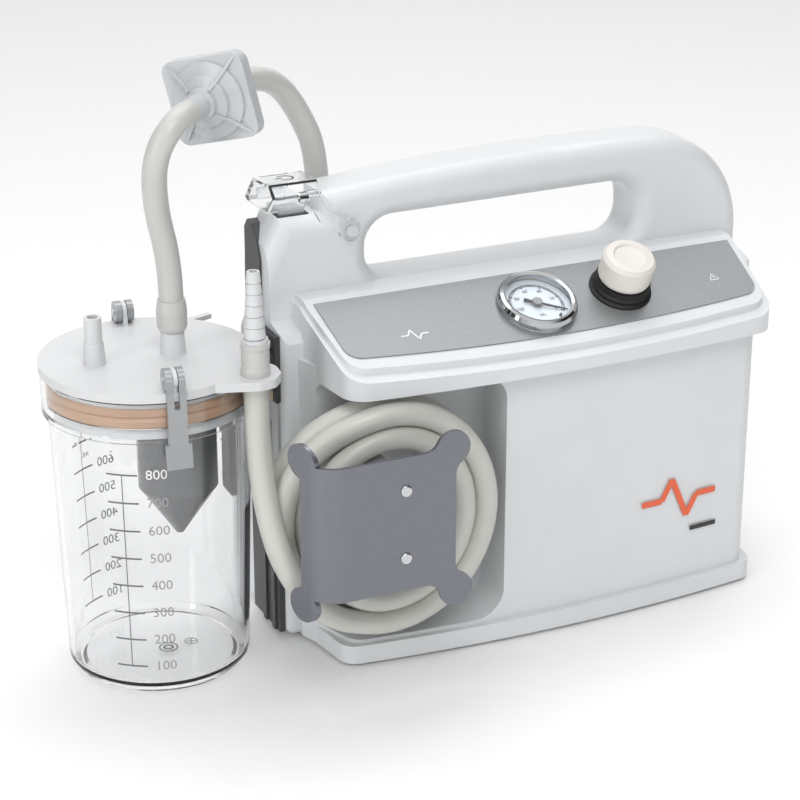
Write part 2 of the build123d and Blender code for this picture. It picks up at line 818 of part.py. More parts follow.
rib_outline = [
    (hinge_radius - 6, lid_top_z - 1),
    (hinge_radius - 5, hinge_z),
    (hinge_radius + 5, hinge_z),
    (lid_radius - 0.5, lid_top_z + 2),
    (lid_radius - 0.5, lid_top_z - 1),
]
with BuildPart() as jar_lid:
    with BuildSketch(Plane.XY.offset(lid_z)) as lid_plan:
        with Locations((jar_x, jar_y)):
            Circle(lid_radius)
        with BuildLine():
            Polyline(
                (jar_x + 12, jar_y - 50),
                (ear_x - 2, ear_y - 12),
                (ear_x + 6, ear_y - 11),
                (ear_x + 12, ear_y - 4),
                (ear_x + 13, ear_y + 6),
                (jar_x + 46, jar_y - 26),
                (jar_x + 20, jar_y - 20),
                close=True,
            )
        make_face()
        fillet(lid_plan.vertices().filter_by(lambda vertex: vertex.X > ear_x - 8), radius=6)
        with Locations((ear_x, ear_y)):
            Circle(hose_radius + 0.15, mode=Mode.SUBTRACT)
    extrude(amount=lid_top_z - lid_z)
    with BuildSketch(Plane.XY.offset(gasket_top_z)):
        with Locations((jar_x, jar_y)):
            Circle(49.6)
    extrude(amount=lid_z - gasket_top_z)
    with BuildSketch(Plane.XY.offset(gasket_top_z)):
        with Locations((jar_x, jar_y)):
            Circle(neck_inner - 0.2)
            Circle(neck_inner - 2.6, mode=Mode.SUBTRACT)
    extrude(amount=-16)
    with BuildSketch(Plane.XY.offset(lid_z + 0.5)):
        with BuildLine():
            Spline((jar_x + 30, jar_y + 40), (jar_x + 44, jar_y + 43.5), (jar_x + 51, jar_y + 46))
            Line((jar_x + 51, jar_y + 46), (jar_x + 50, jar_y + 49))
            Spline((jar_x + 50, jar_y + 49), (jar_x + 43, jar_y + 47), (jar_x + 28, jar_y + 46))
            Line((jar_x + 28, jar_y + 46), (jar_x + 30, jar_y + 40))
        make_face()
    extrude(amount=2.4)
    with BuildSketch(Plane.XY.offset(lid_z - 21)):
        with Locations((spout_x, jar_y)):
            Circle(4.5)
    extrude(amount=22)
    with BuildSketch(Plane.XY.offset(lid_z)):
        with Locations((spout_x, jar_y)):
            Circle(5.9)
    extrude(amount=16, taper=3.6)
    with BuildSketch(Plane.XY.offset(lid_z + 16)):
        with Locations((spout_x, jar_y)):
            Circle(4.4)
    extrude(amount=12.5)
    with BuildSketch(Plane.XY.offset(lid_z)):
        with Locations((vacuum_x, vacuum_y)):
            Circle(6.8)
    extrude(amount=16, taper=3.6)
    with BuildSketch(Plane.XY.offset(lid_z + 16)):
        with Locations((vacuum_x, vacuum_y)):
            Circle(4.2)
    extrude(amount=16.5)
    for side in (1, -1):
        add(clip_block(side, rib_outline, slot_half - 0.3))
        add(clip_rod(side, 5, slot_half - 0.3))
        add(clip_rod(side, 1.5, 10), mode=Mode.SUBTRACT)
    with BuildSketch(Plane.XY.offset(lid_z - 30)):
        with Locations((spout_x, jar_y), (vacuum_x, vacuum_y)):
            Circle(2.8)
    extrude(amount=70, mode=Mode.SUBTRACT)
finish(jar_lid.part, "jar_lid")
print("lid", jar_lid.part.is_valid, len(jar_lid.part.solids()))

clip_outline = [
    (hinge_radius, hinge_z + 5.5),
    (hinge_radius + 3.2, hinge_z + 4.5),
    (hinge_radius + 5.6, hinge_z + 1),
    (lid_radius + 2.6, lid_top_z),
    (lid_radius + 3.4, collar_z + 1),
    (lid_radius + 3.0, collar_z - 2.6),
    (collar_radius - 1.6, collar_z - 2.6),
    (collar_radius - 1.2, collar_z - 0.5),
    (lid_radius + 0.8, collar_z - 0.5),
    (lid_radius + 0.6, lid_top_z + 1),
    (hinge_radius + 2, hinge_z),
]
tail_outline = [
    (lid_radius + 3.2, collar_z + 0.6),
    (lid_radius + 5.0, collar_z - 11.4),
    (lid_radius + 3.6, collar_z - 12),
    (lid_radius + 1.6, collar_z - 2),
    (lid_radius + 1.6, collar_z + 0.6),
]
slot_outline = [(hinge_radius - 10, 158), (lid_radius + 9, 158), (lid_radius + 9, 185), (hinge_radius - 10, 185)]
for side, name in ((-1, "jar_clip_front"), (1, "jar_clip_rear")):
    with BuildPart() as clip:
        add(clip_block(side, clip_outline, clip_half))
        add(clip_rod(side, 5.5, clip_half))
        add(clip_block(side, tail_outline, 6.3))
        add(clip_block(side, slot_outline, slot_half), mode=Mode.SUBTRACT)
        add(clip_rod(side, 1.55, 12), mode=Mode.SUBTRACT)
    finish(clip.part, name)
    print(name, clip.part.is_valid, len(clip.part.solids()), clip.part.bounding_box())

with BuildPart() as clip_pins:
    for side in (1, -1):
        add(clip_rod(side, 1.5, clip_half + 0.6))
finish(clip_pins.part, "clip_pins")

# ---------------------------------------------------------------- float valve
float_plane = Plane(origin=(vacuum_x, vacuum_y, 0))
cage_bottom_z = 68.0
cage_radius = 20.3
cage_shell = turned(
    float_plane,
    [
        (0, cage_bottom_z), (2, cage_bottom_z), (cage_radius, 95), (cage_radius, gasket_top_z),
        (cage_radius - 1.5, gasket_top_z), (cage_radius - 1.5, 95.5), (1.6, cage_bottom_z + 2), (0, cage_bottom_z + 2),
    ],
)
with BuildPart() as float_cage:
    add(cage_shell)
    with BuildSketch(Plane.XY.offset(140)):
        with Locations((vacuum_x, vacuum_y)):
            with PolarLocations(cage_radius, 4, start_angle=45):
                Rectangle(8, 8)
    extrude(amount=12, mode=Mode.SUBTRACT)
finish(float_cage.part, "float_cage")
with BuildPart() as float_ball:
    with Locations((vacuum_x, vacuum_y, 99)):
        Sphere(17)
finish(float_ball.part, "float_ball")
finish(
    turned(
        float_plane,
        [
            (3, gasket_top_z), (18.7, gasket_top_z), (18.7, gasket_top_z - 6), (12, gasket_top_z - 6),
            (8, gasket_top_z - 3), (3, gasket_top_z - 3),
        ],
    ),
    "valve_seat",
)
finish(
    turned(
        float_plane,
        [
            (4.25, lid_top_z + 12), (6.6, lid_top_z + 12), (7.5, lid_top_z + 14), (7.7, lid_top_z + 22),
            (7, lid_top_z + 28), (4.25, lid_top_z + 28),
        ],
    ),
    "vacuum_cuff",
)


# ---------------------------------------------------------------- filter
filter_plane = Plane(origin=(-103, 26, 290), x_dir=(0.634, -0.736, 0.24), z_dir=(-0.75, -0.66, -0.04))
filter_reach = 24.0         # middle of the filter to the end of each spout


def filter_half(plane, name):
    """One half of the filter housing: square flange, ribbed funnel and spout."""
    with BuildPart() as half:
        with BuildSketch(plane.offset(0.1)):
            RectangleRounded(45, 42, 6)
        extrude(amount=3.2)
        add(
            turned(
                plane,
                [
                    (2.4, 1.5), (19, 1.5), (19, 5), (13, 7), (12.4, 9), (8, 10.5), (7.6, 13), (6.2, 14),
                    (6.2, filter_reach), (2.4, filter_reach),
                ],
            )
        )
        with BuildSketch(plane):
            Circle(17)
        extrude(amount=1.7, mode=Mode.SUBTRACT)
        with BuildSketch(plane):
            Circle(2.4)
        extrude(amount=filter_reach + 1, mode=Mode.SUBTRACT)
    finish(half.part, name)


filter_half(filter_plane, "filter_front_half")
filter_rear_plane = Plane(
    origin=filter_plane.origin, x_dir=filter_plane.x_dir, z_dir=filter_plane.z_dir * -1
)
filter_half(filter_rear_plane, "filter_rear_half")

with BuildPart() as filter_membrane:
    with BuildSketch(filter_plane.offset(-0.4)):
        Circle(16.9)
    extrude(amount=0.8)
finish(filter_membrane.part, "filter_membrane")


# ---------------------------------------------------------------- tubes and hose
def tube(route, radius, name):
    """Round tube along straight runs joined by the largest tangent arcs that the runs allow."""
    points = [Vector(*point) for point in route]
    radii = []
    for before, corner, after in zip(points, points[1:], points[2:]):
        turn = radians((corner - before).get_angle(after - corner))
        shorter = min((corner - before).length, (after - corner).length)
        radii.append(0.45 * shorter / tan(turn / 2))
    with BuildPart() as body:
        with BuildLine() as path:
            FilletPolyline(*points, radius=radii)
        with BuildSketch(Plane(origin=path.line @ 0, z_dir=path.line % 0)):
            Circle(radius)
        sweep()
    length = path.wires()[0].length
    expected = pi * radius**2 * length
    print(
        name,
        "length", round(length, 1),
        "radii", [round(value, 1) for value in radii],
        "volume ratio", round(body.part.volume / expected, 4),
    )
    finish(body.part, name)
    return body.part


def from_filter(side, reach):
    """Point on the filter's axis, in front of it (side 1) or behind it (side -1)."""
    return tuple(filter_plane.origin + filter_plane.z_dir * side * reach)


small_tube_radius = 6.15
tube(
    [
        (vacuum_x, vacuum_y, lid_top_z + 28),
        (vacuum_x, vacuum_y, 213),
        (-139, 13, 243),
        (-142.5, 2, 271),
        from_filter(1, filter_reach + 14),
        from_filter(1, filter_reach),
    ],
    small_tube_radius,
    "tube_jar_to_filter",
)
tube(
    [
        from_filter(-1, filter_reach),
        from_filter(-1, filter_reach + 12),
        (-57, 59, 286),
        (-42.5, inlet_y, 267),
        (inlet_x, inlet_y, 243),
        (inlet_x, inlet_y, inlet_z + 8),
    ],
    small_tube_radius,
    "tube_filter_to_pump",
)
tube(
    [
        (ear_x, ear_y, lid_top_z),
        (ear_x, ear_y, 140),
        (-104.3, -30, 108),
        (-102, -42, 77),
        (-90.5, -45, 52.5),
        (-74, coil_front_y + hose_radius, 35),
        (-58, coil_front_y + hose_radius, 29),
    ],
    hose_radius,
    "patient_hose",
)

with BuildPart() as pump_inlet_spout:
    with BuildSketch(Plane.XZ.offset(-inlet_y)):
        with Locations((inlet_x, inlet_z)):
            Circle(6)
    extrude(amount=inlet_y - handle_rear_y + 8)
    add(outer_blank, mode=Mode.SUBTRACT)
    with BuildSketch(Plane.XZ.offset(-inlet_y)):
        with Locations((inlet_x, inlet_z)):
            Circle(3.9)
    extrude(amount=inlet_y - handle_rear_y + 11)
    with Locations((inlet_x, inlet_y, inlet_z)):
        Sphere(6)
        Cylinder(radius=6, height=8, align=(Align.CENTER, Align.CENTER, Align.MIN))
        Cylinder(radius=2.4, height=20, align=(Align.CENTER, Align.CENTER, Align.MIN), mode=Mode.SUBTRACT)
    with BuildSketch(Plane.XZ.offset(-inlet_y)):
        with Locations((inlet_x, inlet_z)):
            Circle(2.4)
    extrude(amount=30, mode=Mode.SUBTRACT)
finish(pump_inlet_spout.part, "pump_inlet_spout")
print("inlet", pump_inlet_spout.part.is_valid, len(pump_inlet_spout.part.solids()))

ear_plane = Plane(origin=(ear_x, ear_y, lid_top_z))
finish(
    turned(
        ear_plane,
        [
            (hose_bore, 0), (7.4, 0), (7.4, 3), (6.9, 4.5), (6.9, 13), (7.4, 14.5), (7.4, 16.5),
            (hose_bore, 16.5),
        ],
    ),
    "hose_cuff",
)
barbs = [(4.8, 18.5)]
for step in range(6):
    base = 19.2 + step * 5.6
    grown = 5.5 - step * 0.36
    barbs += [(grown - 0.7, base), (grown, base), (grown - 0.6, base + 5.2), (grown - 0.9, base + 5.2)]
finish(
    turned(
        ear_plane,
        [(2, 16.5), (6.4, 16.5), (6.4, 18.5), *barbs, (2, 19.2 + 6 * 5.6 - 0.4)],
    ),
    "hose_connector",
)

end_cuff_plane = Plane(origin=(coil_x - 40.6, coil_front_y + hose_radius - 0.4, coil_z - 14))
end_cuff_length = 26.0
with BuildPart() as patient_hose_coil:
    with BuildSketch(Plane.XZ.offset(-coil_rear_y)):
        with Locations((coil_x, coil_z)):
            Ellipse(60, 63.5)
            Ellipse(34, 38.5, mode=Mode.SUBTRACT)
    extrude(amount=coil_rear_y - coil_front_y)
    fillet(patient_hose_coil.edges(), radius=5)
    with BuildSketch(end_cuff_plane):
        Circle(6.65)
    extrude(amount=end_cuff_length, mode=Mode.SUBTRACT)
finish(patient_hose_coil.part, "patient_hose_coil")
print("coil", patient_hose_coil.part.is_valid, patient_hose_coil.part.bounding_box())

with BuildPart() as hose_end_cuff:
    with BuildSketch(end_cuff_plane):
        Circle(6.6)
    extrude(amount=end_cuff_length)
    fillet(hose_end_cuff.edges(), radius=0.8)
    with BuildSketch(end_cuff_plane):
        Circle(hose_bore)
    extrude(amount=end_cuff_length, mode=Mode.SUBTRACT)
finish(hose_end_cuff.part, "hose_end_cuff")

# ---------------------------------------------------------------- hose winder
plate_thick = 2.0
plate_left_x = -80.5
plate_right_x = -22.0
bend_radius = 15.0
bend = 72.0
horn_radius = 9.0
with BuildPart() as winder_strip:
    with BuildSketch(Plane.XY.offset(40)):
        with BuildLine() as strip_line:
            middle_y = front_y + plate_thick / 2
            Line((plate_right_x + 12, middle_y), (plate_left_x, middle_y))
            CenterArc((plate_left_x, middle_y + bend_radius), bend_radius, 270, -bend)
            Line(strip_line.line @ 1, strip_line.line @ 1 + (strip_line.line % 1) * 16)
        trace(line_width=plate_thick)
    extrude(amount=110)

with BuildPart() as front_cut:
    with BuildSketch(Plane.XZ.offset(-front_y - 30)) as front_outline:
        with Locations(((plate_left_x + plate_right_x) / 2, 96.5)):
            Rectangle(plate_right_x - plate_left_x, 71)
        with Locations((-23.5, 132.5), (-21.5, 56)):
            Circle(horn_radius)
        fillet(front_outline.vertices().filter_by(lambda vertex: vertex.X > plate_right_x - 20), radius=8)
        with Locations((rivet_x, rivet_heights[0]), (rivet_x, rivet_heights[1])):
            Circle(2.2, mode=Mode.SUBTRACT)
    extrude(amount=60)
    add(winder_strip.part, mode=Mode.INTERSECT)

with BuildPart() as side_cut:
    with BuildSketch(Plane.YZ.offset(plate_left_x - 40)) as side_outline:
        with Locations((front_y + 5, 96.5)):
            Rectangle(24, 71)
        with Locations((front_y + 16, 132.5), (front_y + 16, 56)):
            Circle(horn_radius)
    extrude(amount=40)
    add(winder_strip.part, mode=Mode.INTERSECT)

with BuildPart() as hose_winder_plate:
    add(front_cut.part)
    add(side_cut.part)
finish(hose_winder_plate.part, "hose_winder_plate")
print("winder", hose_winder_plate.part.is_valid, len(hose_winder_plate.part.solids()))
print(hose_winder_plate.part.bounding_box())

core_front_y = front_y + plate_thick
with BuildPart() as winder_core:
    with BuildSketch(Plane.XZ.offset(-recess_floor_y)):
        with Locations((rivet_x, 95.5)):
            RectangleRounded(14, 45, 5)
    extrude(amount=recess_floor_y - core_front_y)
    with BuildSketch(Plane.XZ.offset(-core_front_y)):
        with Locations(*[(rivet_x, height) for height in rivet_heights]):
            Circle(2.2)
    extrude(amount=-12, mode=Mode.SUBTRACT)
finish(winder_core.part, "winder_core")

with BuildPart() as winder_rivets:
    with BuildSketch(Plane.XZ.offset(-front_y)):
        with Locations(*[(rivet_x, height) for height in rivet_heights]):
            Circle(3)
    extrude(amount=1.2)
    fillet(winder_rivets.edges().group_by(Axis.Y)[0], radius=0.8)
    with BuildSketch(Plane.XZ.offset(-front_y)):
        with Locations(*[(rivet_x, height) for height in rivet_heights]):
            Circle(2.15)
    extrude(amount=-10)
finish(winder_rivets.part, "winder_rivets")

# ---------------------------------------------------------------- motor and pump
motor_plane = Plane(origin=(0, motor_y, motor_z), x_dir=(0, 1, 0), z_dir=(1, 0, 0))
finish(
    turned(
        motor_plane,
        [
            (3.05, 100), (26, 100), (26, 158), (3.05, 158), (3.05, 154), (23.5, 154), (23.5, 104), (3.05, 104),
        ],
    ),
    "pump_motor",
)
with BuildPart() as motor_rotor:
    add(
        turned(
            motor_plane,
            [(0, 80), (3, 80), (3, 107), (20, 107), (20, 151), (3, 151), (3, 160), (0, 160)],
        )
    )
    with BuildSketch(motor_plane.offset(82)):
        Circle(9.5)
    extrude(amount=6)
    with BuildSketch(motor_plane.offset(70)):
        with Locations((0, crank_throw)):
            Circle(3)
    extrude(amount=13)
finish(motor_rotor.part, "motor_rotor")

with BuildPart() as motor_mounts:
    for mount_x in (108, 150):
        with Locations((mount_x, motor_y, (foot_height + wall + 32) / 2)):
            Box(8, 30, 32 - foot_height - wall)
    with Locations(Plane(origin=(129, motor_y, motor_z), z_dir=(1, 0, 0))):
        Cylinder(radius=26.02, height=80, mode=Mode.SUBTRACT)
finish(motor_mounts.part, "motor_mounts")

with BuildPart() as pump_frame:
    with Locations((81, motor_y, (foot_height + wall + 74) / 2)):
        Box(38, 42, 74 - foot_height - wall)
    with Locations(Plane(origin=(81, motor_y, motor_z), z_dir=(1, 0, 0))):
        Cylinder(radius=16.5, height=80, mode=Mode.SUBTRACT)
    with Locations((77, motor_y, 72)):
        Cylinder(radius=6, height=20, mode=Mode.SUBTRACT)
finish(pump_frame.part, "pump_frame")

with BuildPart() as connecting_rod:
    with BuildSketch(motor_plane.offset(73)):
        Circle(12.6)
        Circle(9.2, mode=Mode.SUBTRACT)
    extrude(amount=8)
    with BuildSketch(Plane.XY.offset(motor_z + 11)):
        with Locations((77, motor_y)):
            Circle(4)
    extrude(amount=18)
    with BuildSketch(Plane.XY.offset(80)):
        with Locations((77, motor_y)):
            Circle(12)
    extrude(amount=3)
finish(connecting_rod.part, "connecting_rod")

chamber_plane = Plane(origin=(77, motor_y, 0))
finish(
    turned(chamber_plane, [(17, 74), (20.5, 74), (20.5, 88), (17, 88)]),
    "pump_chamber",
)
finish(turned(chamber_plane, [(0, 88), (20.5, 88), (20.5, 90), (0, 90)]), "diaphragm")
with BuildPart() as head_cover:
    add(
        turned(
            chamber_plane,
            [(0, 90), (20.5, 90), (20.5, 98), (18, 100), (0, 100)],
        )
    )
    with Locations((69, motor_y, 103), (85, motor_y, 103)):
        Cylinder(radius=4, height=10)
finish(head_cover.part, "head_cover")

tube(
    [
        (inlet_x, inlet_y - 24, inlet_z),
        (inlet_x, inlet_y - 35, inlet_z),
        (inlet_x + 3, inlet_y - 34, 162),
        (10, inlet_y - 30, 148),
        (52, motor_y, 140),
        (69, motor_y, 124),
        (69, motor_y, 108),
    ],
    3.7,
    "vacuum_line",
)
with BuildPart() as exhaust_muffler:
    with Locations((85, motor_y, 122)):
        Cylinder(radius=8, height=28)
    fillet(exhaust_muffler.edges(), radius=2)
finish(exhaust_muffler.part, "exhaust_muffler")

with BuildPart() as circuit_board:
    with Locations((-20, rear_y - 9, 85)):
        Box(80, 1.6, 70)
    with Locations((-40, rear_y - 14, 100), (0, rear_y - 14, 70)):
        Box(18, 9, 16)
    with Locations(Plane(origin=(-5, rear_y - 9.8, 105), z_dir=(0, -1, 0))):
        Cylinder(radius=7, height=20, align=(Align.CENTER, Align.CENTER, Align.MIN))
finish(circuit_board.part, "circuit_board")
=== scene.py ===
"""Look of the portable medical suction pump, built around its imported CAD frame."""

import math

import bmesh
import bpy
from mathutils import Matrix, Vector


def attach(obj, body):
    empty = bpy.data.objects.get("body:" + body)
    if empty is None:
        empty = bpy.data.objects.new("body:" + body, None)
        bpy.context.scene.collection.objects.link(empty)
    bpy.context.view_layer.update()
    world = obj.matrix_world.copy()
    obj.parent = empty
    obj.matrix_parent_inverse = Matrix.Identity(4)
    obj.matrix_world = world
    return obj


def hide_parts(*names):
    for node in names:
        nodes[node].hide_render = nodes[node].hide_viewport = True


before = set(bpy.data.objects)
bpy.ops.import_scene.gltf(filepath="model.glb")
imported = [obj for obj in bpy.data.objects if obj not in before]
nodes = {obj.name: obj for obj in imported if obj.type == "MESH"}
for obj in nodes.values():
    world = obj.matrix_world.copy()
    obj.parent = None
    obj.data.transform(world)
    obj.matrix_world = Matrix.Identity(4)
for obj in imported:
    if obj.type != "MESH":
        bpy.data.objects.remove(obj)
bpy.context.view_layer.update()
MM = 0.001


def link(obj):
    """Puts a new object into the scene."""
    bpy.context.scene.collection.objects.link(obj)
    return obj


def tube(name, route, radius):
    """Open round cord through the route's points, which are in millimetres."""
    data = bpy.data.curves.new(name, "CURVE")
    data.dimensions = "3D"
    data.bevel_depth = 1  # each point's own radius gives the thickness
    data.bevel_resolution = 7
    data.resolution_u = 8
    data.use_fill_caps = True
    line = data.splines.new("NURBS")
    line.points.add(len(route) - 1)
    for point, (x, y, z) in zip(line.points, route):
        point.co = (x * MM, y * MM, z * MM, 1)
        point.radius = radius * MM
    line.order_u = 3
    line.use_endpoint_u = True
    return link(bpy.data.objects.new(name, data))


# ---------------------------------------------------------------- camera
camera_data = bpy.data.cameras.new("camera")
camera_data.lens = 103.9
camera_data.sensor_width = 36
camera_data.clip_start = 0.05
camera = link(bpy.data.objects.new("camera", camera_data))
camera.location = (-0.4805, -0.9972, 0.576)
camera.rotation_euler = (math.radians(67.8), 0, math.radians(-25))
bpy.context.scene.camera = camera

# ---------------------------------------------------------------- hose and tubes
HOSE_RADIUS = 6.25
TUBE_RADIUS = 6.15
COIL_X, COIL_Z = -41.5, 83.5
OUTER_TURN = (53.75, 57.25)
INNER_TURN = (41.2, 44.7)
FRONT_Y, MIDDLE_Y, BACK_Y = -44.75, -31.6, -18.4
# how far round the hose is, in degrees from the bottom, with the turn's half size and its depth there
LAY = [
    (-15, OUTER_TURN, FRONT_Y),
    (190, OUTER_TURN, FRONT_Y),
    (255, OUTER_TURN, MIDDLE_Y),
    (550, OUTER_TURN, MIDDLE_Y),
    (615, OUTER_TURN, BACK_Y),
    (835, OUTER_TURN, BACK_Y),
    (910, INNER_TURN, BACK_Y),
    (1000, INNER_TURN, BACK_Y),
    (1065, INNER_TURN, MIDDLE_Y),
    (1360, INNER_TURN, MIDDLE_Y),
    (1425, INNER_TURN, FRONT_Y),
    (1690, INNER_TURN, FRONT_Y),
]
TURN_STEP = 15


def coil_point(angle):
    """Centre of the hose that far round the coil, easing from one layer to the next."""
    before = max((lay for lay in LAY if lay[0] <= angle), key=lambda lay: lay[0])
    after = min((lay for lay in LAY if lay[0] >= angle), key=lambda lay: lay[0])
    share = (angle - before[0]) / (after[0] - before[0]) if after[0] > before[0] else 0
    share = share * share * (3 - 2 * share)  # slow start and slow end
    _, (wide_before, high_before), depth_before = before
    _, (wide_after, high_after), depth_after = after
    half_wide = wide_before + (wide_after - wide_before) * share
    half_high = high_before + (high_after - high_before) * share
    depth = depth_before + (depth_after - depth_before) * share
    turned = math.radians(angle)
    return (COIL_X + half_wide * math.sin(turned), depth, COIL_Z - half_high * math.cos(turned))


# from the cuff in the lid's ear down to the winder, round it, and up to the end cuff
ear = (-104.5, -25.5, 165.5)
free_run = [
    ear,
    (-104.5, -25.5, 140),
    (-104.3, -30, 108),
    (-102, -42, 77),
    (-90.5, -45, 52.5),
    (-74, -44.75, 35),
]
coil_run = [coil_point(angle) for angle in range(LAY[0][0], LAY[-1][0] + 1, TURN_STEP)]
end_cuff_top = (-82.1, -45.15, 95.5)
hose = tube("hose", free_run + coil_run + [end_cuff_top], HOSE_RADIUS)
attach(hose, "pump")
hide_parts("patient_hose", "patient_hose_coil")

# tubes from the jar's lid to the filter, and from the filter into the case
FILTER_CENTRE = Vector((-103, 26, 290))
FILTER_FACING = Vector((-0.75, -0.66, -0.04)).normalized()


def from_filter(reach):
    """Point on the filter's axis, that far in front of its middle."""
    return tuple(FILTER_CENTRE + FILTER_FACING * reach)


jar_tube_route = [
    (-130.7, 19, 193.5),
    (-130.7, 19, 213),
    (-139, 13, 243),
    (-142.5, 2, 271),
    from_filter(38),
    from_filter(24),
]
jar_tube = tube("jar_tube", jar_tube_route, TUBE_RADIUS)
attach(jar_tube, "pump")
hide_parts("tube_jar_to_filter")
pump_tube_route = [
    from_filter(-24),
    from_filter(-36),
    (-57, 59, 286),
    (-42.5, 64, 267),
    (-32.5, 64, 243),
    (-32.5, 64, 208),
]
pump_tube = tube("pump_tube", pump_tube_route, TUBE_RADIUS)
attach(pump_tube, "pump")
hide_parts("tube_filter_to_pump")


# ---------------------------------------------------------------- materials
GRAIN_SCALE = 1500
GRAIN_HEIGHT = 0.0002
GLOSS_SPREAD = 0.1


def surface(name, colour, roughness, metallic=0.0, mottle=0.03, mottle_scale=60, grain=0.0, **more):
    """Procedural finish: a faint mottle in the colour, uneven gloss, and a fine grain in the relief."""
    made = bpy.data.materials.new(name)
    made.use_nodes = True
    tree = made.node_tree
    shader = tree.nodes["Principled BSDF"]
    spot = tree.nodes.new("ShaderNodeTexCoord")
    cloud = tree.nodes.new("ShaderNodeTexNoise")
    cloud.inputs["Scale"].default_value = mottle_scale
    cloud.inputs["Detail"].default_value = 3
    ramp = tree.nodes.new("ShaderNodeValToRGB")
    ramp.color_ramp.elements[0].position = 0.3
    ramp.color_ramp.elements[1].position = 0.7
    ramp.color_ramp.elements[0].color = (*(channel * (1 - mottle) for channel in colour), 1)
    ramp.color_ramp.elements[1].color = (*(min(1, channel * (1 + mottle)) for channel in colour), 1)
    gloss = tree.nodes.new("ShaderNodeMapRange")
    gloss.inputs["To Min"].default_value = roughness * (1 - GLOSS_SPREAD)
    gloss.inputs["To Max"].default_value = roughness * (1 + GLOSS_SPREAD)
    fine = tree.nodes.new("ShaderNodeTexNoise")
    fine.inputs["Scale"].default_value = GRAIN_SCALE
    fine.inputs["Detail"].default_value = 2
    relief = tree.nodes.new("ShaderNodeBump")
    relief.inputs["Strength"].default_value = grain
    relief.inputs["Distance"].default_value = GRAIN_HEIGHT
    join = tree.links.new
    join(spot.outputs["Object"], cloud.inputs["Vector"])
    join(spot.outputs["Object"], fine.inputs["Vector"])
    join(cloud.outputs["Fac"], ramp.inputs["Fac"])
    join(cloud.outputs["Fac"], gloss.inputs["Value"])
    join(ramp.outputs["Color"], shader.inputs["Base Color"])
    join(gloss.outputs["Result"], shader.inputs["Roughness"])
    join(fine.outputs["Fac"], relief.inputs["Height"])
    join(relief.outputs["Normal"], shader.inputs["Normal"])
    shader.inputs["Metallic"].default_value = metallic
    for socket, value in more.items():
        shader.inputs[socket.replace("_", " ")].default_value = value
    return made


def let_light_through(made, tint):
    """A clear piece's shadow is only faint: light that looks for a lamp goes straight through."""
    tree = made.node_tree
    ray = tree.nodes.new("ShaderNodeLightPath")
    clear = tree.nodes.new("ShaderNodeBsdfTransparent")
    clear.inputs["Color"].default_value = (tint, tint, tint, 1)
    either = tree.nodes.new("ShaderNodeMixShader")
    tree.links.new(ray.outputs["Is Shadow Ray"], either.inputs["Fac"])
    tree.links.new(tree.nodes["Principled BSDF"].outputs["BSDF"], either.inputs[1])
    tree.links.new(clear.outputs["BSDF"], either.inputs[2])
    tree.links.new(either.outputs["Shader"], tree.nodes["Material Output"].inputs["Surface"])


CLEAR_PLASTIC_IOR = 1.49
LENS_IOR = 1.15  # low, so that glare doesn't hide the dial

casing_white = surface("casing_white", (0.68, 0.695, 0.71), 0.34, mottle=0.012, grain=0.05)
panel_grey = surface(
    "panel_grey", (0.30, 0.31, 0.32), 0.42, metallic=0.45, mottle=0.10, mottle_scale=1400, grain=0.25
)
dock_grey = surface("dock_grey", (0.045, 0.047, 0.05), 0.45, grain=0.08)
plate_grey = surface("plate_grey", (0.42, 0.43, 0.44), 0.32, metallic=0.3, grain=0.04)
contact_cream = surface("contact_cream", (0.66, 0.58, 0.40), 0.4, metallic=0.3)
brass = surface("brass", (0.72, 0.50, 0.20), 0.28, metallic=1.0)
# black rubber; on the regulator boot it is partly painted shadow, its flared base standing in for the
# shadow the knob casts on the panel
rubber_black = surface("rubber_black", (0.008, 0.008, 0.008), 0.6, mottle=0.2, grain=0.1)
plastic_black = surface("plastic_black", (0.018, 0.018, 0.02), 0.3, mottle=0.1)
steel = surface("steel", (0.62, 0.63, 0.64), 0.26, metallic=1.0, mottle=0.06)
chrome = surface("chrome", (0.50, 0.51, 0.52), 0.12, metallic=1.0, mottle=0.02)
dial_white = surface("dial_white", (0.58, 0.63, 0.68), 0.5, mottle=0.01)
knob_cream = surface("knob_cream", (0.74, 0.71, 0.66), 0.42, mottle=0.012, grain=0.03)
jar_clear = surface(
    "jar_clear", (0.95, 0.955, 0.96), 0.02, mottle=0.004, Transmission_Weight=1.0, IOR=CLEAR_PLASTIC_IOR
)
cover_clear = surface(
    "cover_clear", (0.93, 0.94, 0.95), 0.05, mottle=0.01, Transmission_Weight=1.0, IOR=CLEAR_PLASTIC_IOR
)
lens_clear = surface(
    "lens_clear", (0.96, 0.97, 0.98), 0.03, mottle=0.004, Transmission_Weight=1.0, IOR=LENS_IOR
)
let_light_through(lens_clear, 0.92)
let_light_through(jar_clear, 0.95)
let_light_through(cover_clear, 0.92)
lid_white = surface("lid_white", (0.66, 0.67, 0.68), 0.34, mottle=0.01, grain=0.03)
clip_grey = surface("clip_grey", (0.36, 0.37, 0.38), 0.3, metallic=0.35, mottle=0.03)
gasket_orange = surface("gasket_orange", (0.50, 0.31, 0.20), 0.45, mottle=0.05)
float_grey = surface("float_grey", (0.16, 0.165, 0.17), 0.1, mottle=0.04)
hose_cream = surface("hose_cream", (0.57, 0.575, 0.53), 0.32, mottle=0.02, Coat_Weight=0.15)
tube_white = surface("tube_white", (0.55, 0.55, 0.53), 0.32, mottle=0.02, Coat_Weight=0.15)
filter_milky = surface("filter_milky", (0.60, 0.62, 0.64), 0.28, mottle=0.05, Transmission_Weight=0.15)
winder_metal = surface(
    "winder_metal", (0.21, 0.215, 0.24), 0.3, metallic=0.9, mottle=0.06, mottle_scale=1600, grain=0.2
)
motor_steel = surface("motor_steel", (0.5, 0.51, 0.52), 0.34, metallic=1.0, mottle=0.08)
